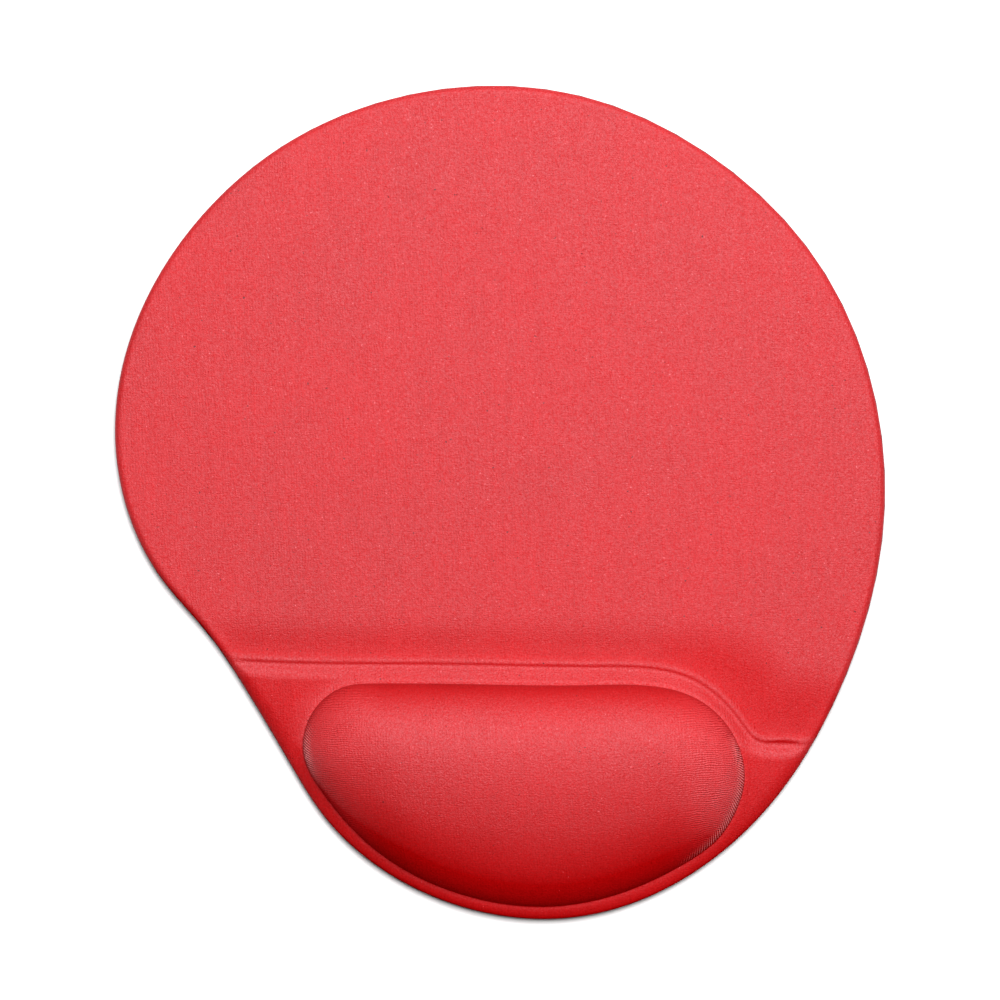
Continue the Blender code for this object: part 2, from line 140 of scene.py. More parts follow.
# How finely the cover is divided
OUTLINE_COUNT = 420
CUSHION_COUNT = 460
CREASE_COUNT = 170
EDGE_RIMS = [step * MM for step in (0.15, 0.4, 0.7)]
INNER_RIMS = [step * MM for step in (1.05, 1.45, 1.9, 2.4, 3.0, 3.7, 4.5)]
OUTER_WALLS = [step * MM for step in (-2.2, -1.6, -1.1, -0.7)]
FOOT_WALLS = [step * MM for step in (-0.35, 0.0, 0.15, 0.35)]
INNER_WALLS = [step * MM for step in (0.6, 0.95, 1.4, 2.0, 2.7, 3.5)]
CREASE_STEPS = [step * MM for step in np.arange(-3.6, 5.6, 0.4)]
CUSHION_GRID = 1.1 * MM
PAD_GRID = 3.2 * MM
FINE_SPACING = 0.12 * MM  # the least distance between points on the edge and at the cushion's foot
RING_SPACING = 0.3 * MM
CUSHION_SPACING = 0.9 * MM
PAD_SPACING = 2.0 * MM
CURVE_SAMPLES = 8  # points of a dense curve for each one that is kept
CHUNK = 2000  # points measured at a time, to save memory
MERGE_DISTANCE = 1e-7
SHORTEST = 1e-9
SMOOTH_ANGLE = math.radians(60)


# ---------------------------------------------------------------- plan curves


def spline_curvature(points, gaps, closed):
    """Second derivatives of the cubic spline through the points, with the chords as its parameter."""
    count = len(points)
    matrix = np.eye(count)
    right = np.zeros((count, 2))
    inner = range(count) if closed else range(1, count - 1)
    for i in inner:
        before, after = (i - 1) % count, (i + 1) % count
        matrix[i, i] = 2 * (gaps[before] + gaps[i])
        matrix[i, before] = gaps[before]
        matrix[i, after] = gaps[i]
        ahead = (points[after] - points[i]) / gaps[i]
        behind = (points[i] - points[before]) / gaps[before]
        right[i] = 6 * (ahead - behind)
    return np.linalg.solve(matrix, right)


def spline(points, count, closed=True):
    """Evenly spaced points along the smooth curve through the given ones."""
    points = np.array(points) * MM
    ends = np.roll(points, -1, axis=0)
    gaps = np.linalg.norm(ends - points, axis=1)
    bend = spline_curvature(points, gaps, closed)
    spans = len(points) if closed else len(points) - 1
    dense = []
    for i in range(spans):
        after, gap = (i + 1) % len(points), gaps[i]
        for ahead in np.linspace(0, gap, count * CURVE_SAMPLES // spans, endpoint=False):
            behind = gap - ahead
            cubic = (bend[i] * behind**3 + bend[after] * ahead**3) / (6 * gap)
            start = (points[i] / gap - bend[i] * gap / 6) * behind
            end = (points[after] / gap - bend[after] * gap / 6) * ahead
            dense.append(cubic + start + end)
    dense.append(points[0] if closed else points[-1])
    dense = np.array(dense)
    walked = np.concatenate([[0], np.cumsum(np.linalg.norm(np.diff(dense, axis=0), axis=1))])
    stops = np.linspace(0, walked[-1], count, endpoint=not closed)
    return np.column_stack([np.interp(stops, walked, dense[:, axis]) for axis in (0, 1)])


def offset(curve, distance, closed=True):
    """The curve moved to its right by distance: into a closed loop that runs clockwise."""
    if closed:
        along = np.roll(curve, -1, axis=0) - np.roll(curve, 1, axis=0)
    else:
        along = np.gradient(curve, axis=0)
    along /= np.linalg.norm(along, axis=1)[:, None]
    return curve + distance * np.column_stack([along[:, 1], -along[:, 0]])


def clockwise(curve):
    after = np.roll(curve, -1, axis=0)
    area = np.sum(curve[:, 0] * after[:, 1] - curve[:, 1] * after[:, 0])
    return curve[::-1] if area > 0 else curve


def centred(curve):
    """The loop with the middle of its box at the origin."""
    return curve - (curve.min(axis=0) + curve.max(axis=0)) / 2


def distance_right(points, curve, closed=True):
    """Distance of each point from the curve, positive on its right."""
    starts = curve if closed else curve[:-1]
    ends = np.roll(curve, -1, axis=0) if closed else curve[1:]
    along = ends - starts
    squares = (along**2).sum(axis=1)
    found = []
    for first in range(0, len(points), CHUNK):
        away = points[first : first + CHUNK, None, :] - starts[None, :, :]
        share = np.clip((away * along).sum(axis=2) / squares, 0, 1)
        apart = away - share[:, :, None] * along
        lengths = (apart**2).sum(axis=2)
        nearest = lengths.argmin(axis=1)
        rows = np.arange(len(nearest))
        gap = apart[rows, nearest]
        side = along[nearest, 1] * gap[:, 0] - along[nearest, 0] * gap[:, 1]
        found.append(np.where(side >= 0, 1, -1) * np.sqrt(lengths[rows, nearest]))
    return np.concatenate(found)


OUTLINE = clockwise(centred(spline(OUTLINE_POINTS, OUTLINE_COUNT)))
CUSHION = clockwise(spline(CUSHION_POINTS, CUSHION_COUNT))
CREASE = spline(CREASE_POINTS, CREASE_COUNT, closed=False)
CUSHION_BACK, CUSHION_FRONT = CUSHION[:, 1].max(), CUSHION[:, 1].min()


# ---------------------------------------------------------------- the cover's height over the plan


def smoothstep(value):
    value = np.clip(value, 0, 1)
    return value * value * (3 - 2 * value)


def bump(value):
    """1 at zero, falling smoothly to 0 at one on either side."""
    return 1 - smoothstep(np.abs(value))


def quarter_round(share):
    """0 to 1 along a quarter circle: steep at the start, level at the end."""
    return np.sqrt(1 - (1 - np.clip(share, 0, 1)) ** 2)


def foot_height(points):
    """The sloping face that the cushion stands on."""
    slope = (FOOT_BACK - FOOT_FRONT) / (CUSHION_BACK - CUSHION_FRONT)
    return FOOT_BACK + slope * (points[:, 1] - CUSHION_BACK)


def around_crown(points):
    """How far round the crown line each point lies, clockwise, and its distance from the line."""
    nearest = np.clip(points[:, 0], CROWN_LEFT, CROWN_RIGHT)
    across, along = points[:, 0] - nearest, points[:, 1] - CROWN_Y
    turn = np.arctan2(across, along)
    length = CROWN_RIGHT - CROWN_LEFT
    right_end = length + TURN_SCALE * turn
    left_end = 2 * length + TURN_SCALE * (2 * math.pi + turn)
    in_front = length + TURN_SCALE * math.pi + CROWN_RIGHT - nearest
    behind = nearest - CROWN_LEFT
    place = np.select([across > 0, across < 0, along < 0], [right_end, left_end, in_front], behind)
    return place, np.hypot(across, along)


def dome_height(points, base):
    """The cushion's face, standing on the height base."""
    border_places, border_distances = around_crown(CUSHION)
    places, distances = around_crown(points)
    whole_turn = 2 * (CROWN_RIGHT - CROWN_LEFT) + 2 * math.pi * TURN_SCALE
    reach = np.interp(places, border_places, border_distances, period=whole_turn)
    ahead = np.clip((CROWN_Y - points[:, 1]) / np.maximum(distances, MM), 0, 1)
    kept = 1 - SOFT_FOOT * ahead**2
    share = np.clip(distances / reach, 0, 1) * kept
    lowest = np.sqrt(1 - kept**DOME_POWER)
    return base + (CROWN_TOP - base) * (np.sqrt(1 - share**DOME_POWER) - lowest) / (1 - lowest)


def trough_reach(points):
    """How far behind the crease the pad begins to sink towards it."""
    widen = smoothstep((points[:, 0] - TROUGH_WIDE_FROM) / (TROUGH_WIDE_TO - TROUGH_WIDE_FROM))
    return TROUGH_REACH + TROUGH_WIDEN * widen


def crease_relief(points, front):
    """The lip, groove and end slit along the crease. front is the distance in front of it."""
    slit = bump((points[:, 0] - SLIT_X) / SLIT_HALF_LENGTH)
    back_side = np.clip(-front, 0, None) / (GROOVE_BACK + SLIT_WIDEN * slit)
    front_side = np.clip(front, 0, None) / (GROOVE_FRONT + SLIT_WIDEN * slit)
    groove = bump(back_side + front_side)
    lip = bump((front + GROOVE_BACK + LIP_WIDTH / 2) / (LIP_WIDTH / 2 + GROOVE_BACK))
    behind = -front
    reach = trough_reach(points)
    sinking = smoothstep((reach - behind) / (reach - TROUGH_PLACE))
    rising = smoothstep((behind - GROOVE_BACK) / (TROUGH_PLACE - GROOVE_BACK))
    trough = TROUGH_DEPTH * sinking * rising
    return LIP_RISE * lip - (GROOVE_DEPTH + SLIT_DEPTH * slit) * groove - trough


def cover_height(points):
    """The cover's height above the desk at each plan point."""
    edge = distance_right(points, OUTLINE) - COVER_SETBACK
    front = distance_right(points, CREASE, closed=False)
    inward = distance_right(points, CUSHION)
    rise = LEDGE_SHARE * smoothstep(front / LEDGE_WIDTH)
    rise += (1 - LEDGE_SHARE) * smoothstep(front / SLOW_RISE)
    level = PAD_TOP + (foot_height(points) - PAD_TOP) * rise
    level += crease_relief(points, front) * smoothstep(edge / BLOCK_ROLL)
    level -= VALLEY_DEPTH * bump(inward / VALLEY_HALF_WIDTH)
    level -= PLATEAU_FALL * (1 - smoothstep(edge / PLATEAU_REACH)) * rise
    fillet = smoothstep((points[:, 1] - FOOT_FILLET_END) / (FOOT_FILLET_START - FOOT_FILLET_END))
    level += FOOT_FILLET * fillet * bump(inward / FOOT_FILLET_REACH) ** 2
    roll = quarter_round(edge / (PAD_ROLL + (BLOCK_ROLL - PAD_ROLL) * rise))
    block = SKIRT_TOP + (level - SKIRT_TOP) * roll
    return np.where(inward > 0, dome_height(points, block), block)


# ---------------------------------------------------------------- mesh helpers


def grid_inside(loop, step, margin):
    """A staggered grid of points at least margin inside the loop."""
    low, high = loop.min(axis=0), loop.max(axis=0)
    rows = np.arange(low[1], high[1], step * math.sqrt(3) / 2)
    points = []
    for index, y in enumerate(rows):
        for x in np.arange(low[0] + (index % 2) * step / 2, high[0], step):
            points.append((x, y))
    points = np.array(points)
    return points[distance_right(points, loop) > margin]


def plan_points(groups, spacings):
    """Joins groups of plan points, without those nearer than the group's spacing to earlier groups."""
    taken = groups[0]
    for group, spacing in zip(groups[1:], spacings):
        tree = KDTree(len(taken))
        for index, point in enumerate(taken):
            tree.insert((*point, 0), index)
        tree.balance()
        free = np.array([tree.find((*point, 0))[2] > spacing for point in group])
        taken = np.vstack([taken, group[free]])
    return taken


def triangulate(points, border_count):
    """Triangles over the plan points, of which the first border_count are the loop round them."""
    border = [(i, (i + 1) % border_count) for i in range(border_count)]
    coords = [Vector(point) for point in points]
    verts, _, faces, *_ = delaunay_2d_cdt(coords, border, [], 1, MERGE_DISTANCE)
    return np.array([tuple(vert) for vert in verts]), faces


def cover_plan():
    """Plan points of the cover, close together wherever its surface bends, and how many lie on its edge."""
    skirt = offset(OUTLINE, COVER_SETBACK)
    creases = np.vstack([offset(CREASE, step, closed=False) for step in CREASE_STEPS])
    creases = creases[distance_right(creases, OUTLINE) > COVER_SETBACK + EDGE_RIMS[1]]
    creases = creases[distance_right(creases, CUSHION) < OUTER_WALLS[0]]
    edge_rims = [offset(OUTLINE, COVER_SETBACK + step) for step in EDGE_RIMS]
    inner_rims = [offset(OUTLINE, COVER_SETBACK + step) for step in INNER_RIMS]
    foot_walls = [offset(CUSHION, step) for step in FOOT_WALLS]
    outer_walls = [offset(CUSHION, step) for step in OUTER_WALLS]
    first_wall, *inner_walls = [offset(CUSHION, step) for step in INNER_WALLS]
    fine = [*edge_rims, *foot_walls]
    rings = [first_wall, creases, *inner_walls, *outer_walls, *inner_rims]
    cushion_grid = grid_inside(CUSHION, CUSHION_GRID, INNER_WALLS[-1])
    pad_grid = grid_inside(OUTLINE, PAD_GRID, INNER_RIMS[-1])
    groups = [skirt, *fine, *rings, cushion_grid, pad_grid]
    spacings = [FINE_SPACING] * len(fine) + [RING_SPACING] * len(rings) + [CUSHION_SPACING, PAD_SPACING]
    return plan_points(groups, spacings), len(skirt)


def build_cover():
    """The cover's upper side, as far as the top of its straight side."""
    plan, faces = triangulate(*cover_plan())
    heights = cover_height(plan)
    shape = bmesh.new()
    made = [shape.verts.new((x, y, z)) for (x, y), z in zip(plan, heights)]
    for face in faces:
        shape.faces.new([made[i] for i in face])
    bmesh.ops.recalc_face_normals(shape, faces=shape.faces)
    if sum(face.normal.z for face in shape.faces) < 0:
        bmesh.ops.reverse_faces(shape, faces=shape.faces)
    return shape


def hem(shape):
    """Carries the rim down the side to just above the base sheet, and turns it in there."""
    rim = [edge for edge in shape.edges if edge.is_boundary]
    halfway = (SKIRT_TOP + COVER_BOTTOM) / 2
    for inward, z in ((0.0, halfway), (0.0, COVER_BOTTOM), (HEM_WIDTH, COVER_BOTTOM)):
        grown = bmesh.ops.extrude_edge_only(shape, edges=rim)["geom"]
        rim = [part for part in grown if isinstance(part, bmesh.types.BMEdge) and part.is_boundary]
        moved = [part for part in grown if isinstance(part, bmesh.types.BMVert)]
        for vert in moved:
            vert.co.z = z
        if inward:
            plan = np.array([vert.co[:2] for vert in moved])
            middle = OUTLINE.mean(axis=0)
            towards = middle - plan
            towards *= inward / np.linalg.norm(towards, axis=1)[:, None]
            for vert, (x, y) in zip(moved, plan + towards):
                vert.co.x, vert.co.y = x, y


def patch_mesh():
    """The cushion's face alone, coarser and a little lower than the cover, and its border's length."""
    loop = CUSHION[::SIM_LOOP_STEP]
    rings = [offset(loop, step) for step in SIM_RINGS]
    groups = [loop, *rings, grid_inside(loop, SIM_GRID, SIM_RINGS[-1])]
    points = plan_points(groups, [SIM_GRID / 5] * len(rings) + [SIM_GRID / 2])
    plan, faces = triangulate(points, len(loop))
    heights = cover_height(plan)
    lowest = heights[: len(loop)].min()
    heights = lowest + (heights - lowest) * SIM_START
    mesh = bpy.data.meshes.new("cushion_patch")
    mesh.from_pydata([(x, y, z) for (x, y), z in zip(plan, heights)], [], faces)
    return mesh, len(loop)


def blow_up():
    """Simulates the cushion's face under the gel's pressure: each point's start and how it moves."""
    mesh, pinned = patch_mesh()
    obj = bpy.data.objects.new("cushion_patch", mesh)
    bpy.context.scene.collection.objects.link(obj)
    pins = obj.vertex_groups.new(name="pins")
    pins.add(list(range(pinned)), 1.0, "REPLACE")
    before = np.array([vert.co[:] for vert in mesh.vertices])
    cloth = obj.modifiers.new("cloth", "CLOTH")
    cloth.settings.vertex_group_mass = "pins"
    cloth.settings.use_pressure = True
    cloth.settings.uniform_pressure_force = SIM_PRESSURE
    cloth.settings.effector_weights.gravity = 0
    cloth.settings.quality = SIM_QUALITY
    cloth.collision_settings.use_collision = False
    cloth.point_cache.frame_end = SIM_FRAMES
    scene = bpy.context.scene
    for step in range(1, SIM_FRAMES + 1):
        scene.frame_set(step)
    graph = bpy.context.evaluated_depsgraph_get()
    after = np.array([vert.co[:] for vert in obj.evaluated_get(graph).to_mesh().vertices])
    scene.frame_set(1)
    bpy.data.objects.remove(obj)
    moves = after - before
    lengths = np.linalg.norm(moves, axis=1)
    moves *= (SIM_CAP * np.tanh(lengths / SIM_CAP) / np.maximum(lengths, SHORTEST))[:, None]
    return before, moves


def inflate(mesh):
    """Moves the cover's cushion as the simulated patch moved."""
    before, moves = blow_up()
    tree = KDTree(len(before))
    for index, place in enumerate(before):
        tree.insert(place, index)
    tree.balance()
    places = np.array([vert.co[:2] for vert in mesh.vertices])
    inward = distance_right(places, CUSHION)
    for index in np.flatnonzero(inward > 0):
        vert = mesh.vertices[index]
        near = tree.find_n(vert.co, SIM_NEIGHBOURS)
        weights = np.array([1 / (distance + SIM_GRID / 4) ** 2 for _, _, distance in near])
        move = (weights[:, None] * moves[[i for _, i, _ in near]]).sum(axis=0) / weights.sum()
        vert.co += Vector(move * smoothstep(inward[index] / SIM_GRID))


def pressed_share(points, inward):
    """Where the hot press has flattened the cloth's pile: behind the crease and on the block's face."""
    front = distance_right(points, CREASE, closed=False)
    behind_crease = smoothstep((trough_reach(points) + front) / TROUGH_REACH)
    lip_kept = smoothstep((-front - GROOVE_BACK) / LIP_WIDTH)
    on_block = smoothstep((front - PRESS_START) / PRESS_FADE) * (inward < 0)
    halo = bump(inward / HALO_WIDTH) * smoothstep((points[:, 1] - CROWN_Y) / HALO_WIDTH)
    on_block *= 1 - halo
    return np.where(front < 0, behind_crease * lip_kept, on_block)


def store(mesh, name, values):
    mesh.attributes.new(name, "FLOAT", "POINT").data.foreach_set("value", values)


def mark_surface(mesh):
    """Stores what the knit needs: its lean to the front, where it is pressed, and where ribs cross it."""
    places = np.array([vert.co[:2] for vert in mesh.vertices])
    lean = np.array([max(-vert.normal.y, 0.0) for vert in mesh.vertices])
    inward = distance_right(places, CUSHION)
    around, _ = around_crown(places)
    out = np.maximum(places[:, 0] - CROWN_RIGHT, CROWN_LEFT - places[:, 0])
    ends = smoothstep((out - RIB_FREE) / RIB_ZONE)
    near_border = 1 - smoothstep(inward / RIB_REACH)
    on_cushion = smoothstep(inward / RIB_START)
    right = places[:, 0] > 0
    below_crown = CROWN_Y - places[:, 1]
    right_teeth = smoothstep(below_crown / TEETH_FADE + 1)
    left_teeth = bump(below_crown / LEFT_TEETH_REACH)
    teeth_zone = np.where(right, right_teeth, left_teeth)
    from_front = smoothstep((places[:, 1] - CUSHION_FRONT) / RIB_FRONT_FADE)
    strength = np.where(right, 1.0, LEFT_RIBS) * from_front
    store(mesh, "front_lean", lean)
    store(mesh, "pressed", pressed_share(places, inward))
    store(mesh, "around", around + RIB_SLANT * inward)
    # These two rib masks also place the painted highlights on the ribs' tops.
    store(mesh, "wall", ends * on_cushion * strength)
    store(mesh, "border_ribs", ends * near_border * on_cushion * teeth_zone)


def make_cover(material):
    """The cover as an object: shaped, hemmed, blown up over the gel and marked for its material."""
    shape = build_cover()
    hem(shape)
    bmesh.ops.recalc_face_normals(shape, faces=shape.faces)
    mesh = bpy.data.meshes.new("cover")
    shape.to_mesh(mesh)
    shape.free()
    inflate(mesh)
    mark_surface(mesh)
    mesh.shade_smooth()
    mesh.set_sharp_from_angle(angle=SMOOTH_ANGLE)
    obj = bpy.data.objects.new("cover", mesh)
    bpy.context.scene.collection.objects.link(obj)
    mesh.materials.append(material)
    return obj


# ---------------------------------------------------------------- materials


class Nodes:
    """Short calls for building a material's node tree."""

    def __init__(self, name):
        self.material = bpy.data.materials.new(name)
        self.material.use_nodes = True
        self.tree = self.material.node_tree
        self.shader = self.tree.nodes["Principled BSDF"]
        self.place = self.tree.nodes.new("ShaderNodeTexCoord").outputs["Object"]

    def link(self, value, socket):
        if isinstance(value, bpy.types.NodeSocket):
            self.tree.links.new(value, socket)
        else:
            socket.default_value = value

    def add(self, kind, output=0, settings=None, **inputs):
        """A node's output. Inputs are given by name, or as i0, i1 and so on where names repeat."""
        node = self.tree.nodes.new(kind)
        for key, value in (settings or {}).items():
            setattr(node, key, value)
        for key, value in inputs.items():
            name = key.replace("_", " ")
            by_index = key[0] == "i" and key[1:].isdigit()
            self.link(value, node.inputs[int(key[1:]) if by_index else name])
        return node.outputs[output]

    def math(self, operation, first, second=0.0, third=0.0):
        settings = {"operation": operation}
        return self.add("ShaderNodeMath", settings=settings, i0=first, i1=second, i2=third)

    def noise(self, scale, detail=2.0, roughness=0.5, place=None):
        place = place or self.place
        inputs = {"Vector": place, "Scale": scale, "Detail": detail, "Roughness": roughness}
        return self.add("ShaderNodeTexNoise", **inputs)

    def spread(self, value, low, high, out_low=0.0, out_high=1.0):
        """The value's range low..high carried to out_low..out_high, and held there beyond it."""
        return self.add("ShaderNodeMapRange", i0=value, i1=low, i2=high, i3=out_low, i4=out_high)

    def mix(self, share, first, second):
        node = self.tree.nodes.new("ShaderNodeMix")
        node.data_type = "RGBA"
        self.link(share, node.inputs[0])
        self.link(first, node.inputs[6])
        self.link(second, node.inputs[7])
        return node.outputs[2]

    def bump(self, height, distance, strength=1.0):
        return self.add("ShaderNodeBump", Height=height, Distance=distance, Strength=strength)

    def scaled(self, scale):
        """The place, stretched along each axis by its scale."""
        settings = {"operation": "MULTIPLY"}
        return self.add("ShaderNodeVectorMath", settings=settings, i0=self.place, i1=scale)

    def attribute(self, name):
        return self.add("ShaderNodeAttribute", 2, settings={"attribute_name": name})

    def finish(self, **inputs):
        for key, value in inputs.items():
            self.link(value, self.shader.inputs[key.replace("_", " ")])
        return self.material


def plan_place(nodes):
    """The place's x and y."""
    node = nodes.tree.nodes.new("ShaderNodeSeparateXYZ")
    nodes.tree.links.new(nodes.place, node.inputs[0])
    return node.outputs[0], node.outputs[1]


# The knit's threads
WALE_PERIOD = 0.85 * MM
WALE_LEAN = 0.07  # the wales run this much to the side for each step back
COURSE_PERIOD = 0.70 * MM
COURSE_MIDDLE_X = 8.0 * MM  # the courses draw together towards both ends of the cushion
COURSE_STRAIGHT = 25.0 * MM
COURSE_DRAWING = 110.0
DRAWING_START, DRAWING_FULL = -45.0 * MM, -60.0 * MM  # from the pad to the cushion
WANDER_SCALE = 160.0
WANDER_REACH = 2.2 * MM  # the threads wander from side to side by a share of this
HATCH_WANDER = 0.3
FADE_SCALE = 260.0  # patches where the knit shows less
FADE_LOW, FADE_HIGH, FADED = 0.35, 0.65, 0.25

# How much each kind of relief adds to the knit's height
WALE_RELIEF = 0.18
COURSE_RELIEF, STRETCHED_RELIEF = 0.10, 0.95
HATCH_RELIEF = 1.9
STREAK_SCALE, STREAK_RELIEF = (900.0, 38.0, 900.0), 0.9
GRAIN_SCALE, GRAIN_RELIEF = 1500.0, 2.6
FIBRE_SCALE, FIBRE_RELIEF = 3400.0, 1.3
RELIEF_DEPTH, RELIEF_STRENGTH = 0.085 * MM, 0.9

# Its colour and gloss
RED = (0.53, 0.010, 0.013, 1.0)
# DEEP_RED is painted shade in the knit's hollows, and with the clouds also the cloth's own uneven tone.
DEEP_RED = (0.38, 0.002, 0.003, 1.0)
# PINK paints the highlight on the tops of the stretched ribs, and is also the colour of the light specks.
# PALE paints the glints on the hatch along the cushion's border.
PINK = (0.80, 0.16, 0.18, 1.0)
PALE = (0.92, 0.38, 0.38, 1.0)
DOT_RED = (0.12, 0.0, 0.0, 1.0)
DEEP_HEIGHT, RED_HEIGHT = 1.5, 3.3
CLOUD_SCALE, CLOUD_TINT = 22.0, 0.13
SPECK_SCALE, SPECK_LOW, SPECK_HIGH, SPECK_SHARE = 1900.0, 0.86, 0.89, 0.6
DOT_SCALE, DOT_HIGH, DOT_LOW = 1300.0, 0.145, 0.115
ROUGHNESS_LOW, ROUGHNESS_HIGH = 0.59, 0.62
KNIT_IOR = 1.7
KNIT_TINT = (1.0, 0.93, 1.0, 1.0)
GLOSS = 0.62
GLOSSY_LEAN, DULL_LEAN = 0.22, 0.55  # the gloss goes as the cloth leans to the front
UNPRESSED_GLOSS, PRESSED_GLOSS = 1.04, 0.56
SPARKLE_SCALE, SPARKLE_RANGE = 1900.0, 0.38


def course_place(nodes, x, y):
    """The coordinate that counts courses: y, drawn together towards the cushion's ends."""
    from_middle = nodes.math("ABSOLUTE", nodes.math("SUBTRACT", x, COURSE_MIDDLE_X))
    out = nodes.math("MAXIMUM", nodes.math("SUBTRACT", from_middle, COURSE_STRAIGHT), 0.0)
    drawn = nodes.math("MULTIPLY", nodes.math("MULTIPLY", out, out), COURSE_DRAWING)
    on_cushion = nodes.spread(y, DRAWING_START, DRAWING_FULL)
    drawn = nodes.math("MULTIPLY_ADD", drawn, on_cushion, 1.0)
    return nodes.math("MULTIPLY", nodes.math("SUBTRACT", y, CROWN_Y), drawn)


def wave(nodes, place, period):
    return nodes.math("SINE", nodes.math("MULTIPLY", place, 2 * math.pi / period))


def knit_threads(nodes, wall):
    """The waves of the wales, of the courses and of the hatch along the cushion's border."""
    x, y = plan_place(nodes)
    wander = nodes.noise(WANDER_SCALE, 3.0, 0.6)
    drift = nodes.math("MULTIPLY", nodes.math("SUBTRACT", wander, 0.5), WANDER_REACH)
    across = nodes.math("ADD", nodes.math("MULTIPLY_ADD", y, WALE_LEAN, x), drift)
    along = nodes.math("ADD", course_place(nodes, x, y), drift)
    fade = nodes.spread(nodes.noise(FADE_SCALE, 2.0), FADE_LOW, FADE_HIGH, FADED, 1.0)
    wale_relief = nodes.math("MULTIPLY", fade, WALE_RELIEF)
    wales = nodes.math("MULTIPLY", wave(nodes, across, WALE_PERIOD), wale_relief)
    ribs = nodes.spread(wall, 0.0, 1.0, COURSE_RELIEF, STRETCHED_RELIEF)
    course_relief = nodes.math("MULTIPLY", fade, ribs)
    courses = nodes.math("MULTIPLY", wave(nodes, along, COURSE_PERIOD), course_relief)
    around = nodes.math("MULTIPLY_ADD", drift, HATCH_WANDER, nodes.attribute("around"))
    hatch = nodes.math("MULTIPLY", wave(nodes, around, RIB_PERIOD), nodes.attribute("border_ribs"))
    return wales, courses, hatch


def knit_height(nodes, wales, courses, hatch):
    """The relief of the threads, with long streaks, grain and single fibres added."""
    streaks = nodes.noise(1.0, 2.0, 0.6, nodes.scaled(STREAK_SCALE))
    fibre = nodes.noise(FIBRE_SCALE, 2.0, 0.6)
    grain = nodes.noise(GRAIN_SCALE, 3.0, 0.75)
    knit = nodes.math("MULTIPLY_ADD", hatch, HATCH_RELIEF, nodes.math("ADD", wales, courses))
    fuzz = nodes.math("MULTIPLY_ADD", grain, GRAIN_RELIEF, nodes.math("MULTIPLY", fibre, FIBRE_RELIEF))
    fuzz = nodes.math("MULTIPLY_ADD", streaks, STREAK_RELIEF, fuzz)
    return nodes.math("ADD", knit, fuzz)


def knit_colour(nodes, height, clouds, wall, courses, hatch):
    """Two reds by height and cloud, the deep one painted shade in the knit's hollows; painted highlights on
    the tops of the stretched ribs and of the hatch; light specks and dark dots.
    """
    cloud_tint = nodes.spread(clouds, 0.3, 0.7, -CLOUD_TINT, CLOUD_TINT)
    # Painted shade: the knit goes deep red where its relief is low, in the hollows between threads and
    # grains; the cloud tint is the cloth's own uneven tone.
    share = nodes.math("ADD", nodes.spread(height, DEEP_HEIGHT, RED_HEIGHT), cloud_tint)
    colour = nodes.mix(share, DEEP_RED, RED)
    # Painted highlights: the tops of the ribs on the cushion's end walls turn pink, and those of the hatch
    # along its border pale, as the light's glints on them.
    crest_highlight = nodes.math("MULTIPLY", wall, nodes.spread(courses, -0.4, 0.8, 0.05, 0.55))
    colour = nodes.mix(crest_highlight, colour, PINK)
    colour = nodes.mix(nodes.spread(hatch, 0.15, 0.8, 0.0, 0.9), colour, PALE)
    specks = nodes.spread(nodes.noise(SPECK_SCALE, 0.0), SPECK_LOW, SPECK_HIGH, 0.0, SPECK_SHARE)
    colour = nodes.mix(specks, colour, PINK)
    # Tiny dark dots at random places in the knit.
    dark_dots = nodes.spread(nodes.noise(DOT_SCALE, 0.0), DOT_HIGH, DOT_LOW)
    return nodes.mix(dark_dots, colour, DOT_RED)


def knit_gloss(nodes):
    """The specular level: lower where the cloth leans to the front or is pressed, and sparkling."""
    gloss = nodes.spread(nodes.attribute("front_lean"), GLOSSY_LEAN, DULL_LEAN, GLOSS, 0.0)
    pressed = nodes.spread(nodes.attribute("pressed"), 0.0, 1.0, UNPRESSED_GLOSS, PRESSED_GLOSS)
    gloss = nodes.math("MULTIPLY", gloss, pressed)
    glints = nodes.noise(SPARKLE_SCALE, 2.0, 0.7)
    sparkle = nodes.spread(glints, 0.3, 0.7, 1 - SPARKLE_RANGE, 1 + SPARKLE_RANGE)
    return nodes.math("MULTIPLY", gloss, sparkle)


def knit_material():
    """Red stretch knit: wales and courses, fine fibre grain, slight colour variation, a few specks, painted
    shade in its hollows and painted highlights on its stretched ribs.
    """
    nodes = Nodes("red_knit")
    wall = nodes.attribute("wall")
    wales, courses, hatch = knit_threads(nodes, wall)
    height = knit_height(nodes, wales, courses, hatch)
    clouds = nodes.noise(CLOUD_SCALE, 3.0, 0.55)
    return nodes.finish(
        Base_Color=knit_colour(nodes, height, clouds, wall, courses, hatch),
        Roughness=nodes.spread(clouds, 0.35, 0.65, ROUGHNESS_LOW, ROUGHNESS_HIGH),
        Normal=nodes.bump(height, RELIEF_DEPTH, RELIEF_STRENGTH),
        IOR=KNIT_IOR,
        Specular_IOR_Level=knit_gloss(nodes),
        Specular_Tint=KNIT_TINT,
    )


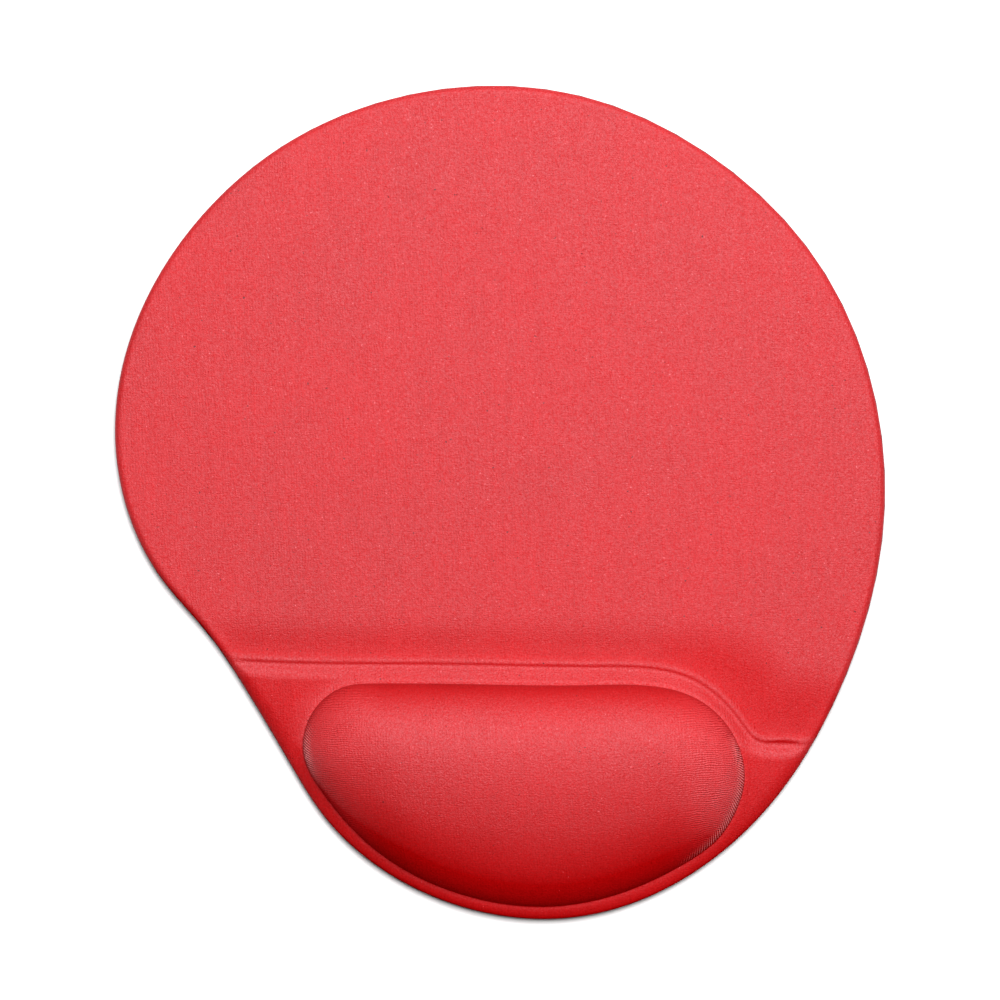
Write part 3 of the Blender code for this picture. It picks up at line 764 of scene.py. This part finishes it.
# The other pieces: material, darkest and lightest colour, grain scale, roughness and depth of relief
PLAIN_MATERIALS = {
    "base_sheet": ("black_rubber", (0.012, 0.012, 0.013), (0.03, 0.03, 0.032), 900.0, 0.7, 0.05 * MM),
    "pad_foam": ("cream_foam", (0.62, 0.58, 0.46), (0.78, 0.74, 0.62), 1500.0, 0.9, 0.1 * MM),
    "wrist_foam": ("grey_foam", (0.30, 0.30, 0.31), (0.45, 0.45, 0.46), 1500.0, 0.9, 0.1 * MM),
    "gel_core": ("blue_gel", (0.20, 0.40, 0.62), (0.30, 0.52, 0.75), 60.0, 0.15, 0.02 * MM),
    "gel_top_film": ("clear_film", (0.80, 0.83, 0.85), (0.88, 0.9, 0.91), 200.0, 0.2, 0.01 * MM),
    "gel_bottom_film": ("white_film", (0.82, 0.82, 0.80), (0.9, 0.9, 0.88), 200.0, 0.35, 0.01 * MM),
}
PLAIN_ROUGHNESS_RANGE = 0.08


def plain_material(name, dark, light, scale, roughness, relief_depth):
    """A material with a fine grain between two colours."""
    nodes = Nodes(name)
    grain = nodes.noise(scale, 4.0, 0.6)
    smoothest, roughest = roughness - PLAIN_ROUGHNESS_RANGE, roughness + PLAIN_ROUGHNESS_RANGE
    return nodes.finish(
        Base_Color=nodes.mix(nodes.spread(grain, 0.3, 0.7), (*dark, 1.0), (*light, 1.0)),
        Roughness=nodes.spread(grain, 0.3, 0.7, smoothest, roughest),
        Normal=nodes.bump(grain, relief_depth),
    )


def dress(node, material):
    """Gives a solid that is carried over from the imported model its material."""
    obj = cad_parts[node]
    if obj.material_slots:
        for slot in obj.material_slots:
            slot.material = material
    else:
        obj.data.materials.append(material)


# ---------------------------------------------------------------- stage


FLOOR_RADIUS = 0.42
FLOOR_SIDES = 96
FLOOR_DROP = 0.1 * MM  # keeps the floor clear of the underside
FLOOR_COLOUR = (0.80, 0.80, 0.80, 1.0)
FLOOR_ROUGHNESS = 0.9
KEY_PLACE = (0.16, 0.58, 1.50)
KEY_SIZE = 1.0
KEY_POWER = 33.0
FILL = 0.10  # the light of the surroundings
BACKDROP = 1.4  # how bright they look behind the floor
CAMERA_HEIGHT = 0.90
CAMERA_Y = 0.7 * MM
IMAGE_WIDTH = 0.2987  # what the frame's width covers, on the pad
SENSOR = 36.0


def make_camera():
    data = bpy.data.cameras.new("camera")
    data.sensor_width = SENSOR
    data.lens = SENSOR * (CAMERA_HEIGHT - PAD_TOP) / IMAGE_WIDTH
    obj = bpy.data.objects.new("camera", data)
    obj.location = (0.0, CAMERA_Y, CAMERA_HEIGHT)
    bpy.context.scene.collection.objects.link(obj)
    bpy.context.scene.camera = obj


def make_key():
    """One large soft light above the back, aimed at the origin."""
    data = bpy.data.lights.new("key", "AREA")
    data.shape = "SQUARE"
    data.size = KEY_SIZE
    data.energy = KEY_POWER
    obj = bpy.data.objects.new("key", data)
    obj.location = KEY_PLACE
    obj.rotation_euler = (-Vector(KEY_PLACE)).to_track_quat("-Z", "Y").to_euler()
    bpy.context.scene.collection.objects.link(obj)


def make_floor():
    mesh = bpy.data.meshes.new("floor")
    turns = np.linspace(0, 2 * math.pi, FLOOR_SIDES, endpoint=False)
    border = [(FLOOR_RADIUS * math.cos(turn), FLOOR_RADIUS * math.sin(turn), 0.0) for turn in turns]
    mesh.from_pydata(border, [], [range(FLOOR_SIDES)])
    mesh.materials.append(Nodes("pale_floor").finish(Base_Color=FLOOR_COLOUR, Roughness=FLOOR_ROUGHNESS))
    floor = bpy.data.objects.new("floor", mesh)
    floor.location.z = -FLOOR_DROP
    bpy.context.scene.collection.objects.link(floor)


def make_surroundings():
    """White all round: dim as light, and bright where it is seen behind the floor."""
    world = bpy.data.worlds.new("studio")
    world.use_nodes = True
    nodes, links = world.node_tree.nodes, world.node_tree.links
    background = nodes["Background"]
    background.inputs["Color"].default_value = (1.0, 1.0, 1.0, 1.0)
    strength = nodes.new("ShaderNodeMath")
    strength.operation = "MULTIPLY_ADD"
    links.new(nodes.new("ShaderNodeLightPath").outputs["Is Camera Ray"], strength.inputs[0])
    strength.inputs[1].default_value = BACKDROP - FILL
    strength.inputs[2].default_value = FILL
    links.new(strength.outputs[0], background.inputs["Strength"])
    bpy.context.scene.world = world


def make_stage():
    make_floor()
    make_surroundings()
    make_key()
    bpy.context.scene.view_settings.view_transform = "Standard"
    bpy.context.scene.view_settings.look = "High Contrast"


def main():
    make_camera()
    make_stage()
    cover = make_cover(knit_material())
    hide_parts("cover_cloth")
    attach(cover, "root")
    for node, values in PLAIN_MATERIALS.items():
        dress(node, plain_material(*values))


main()
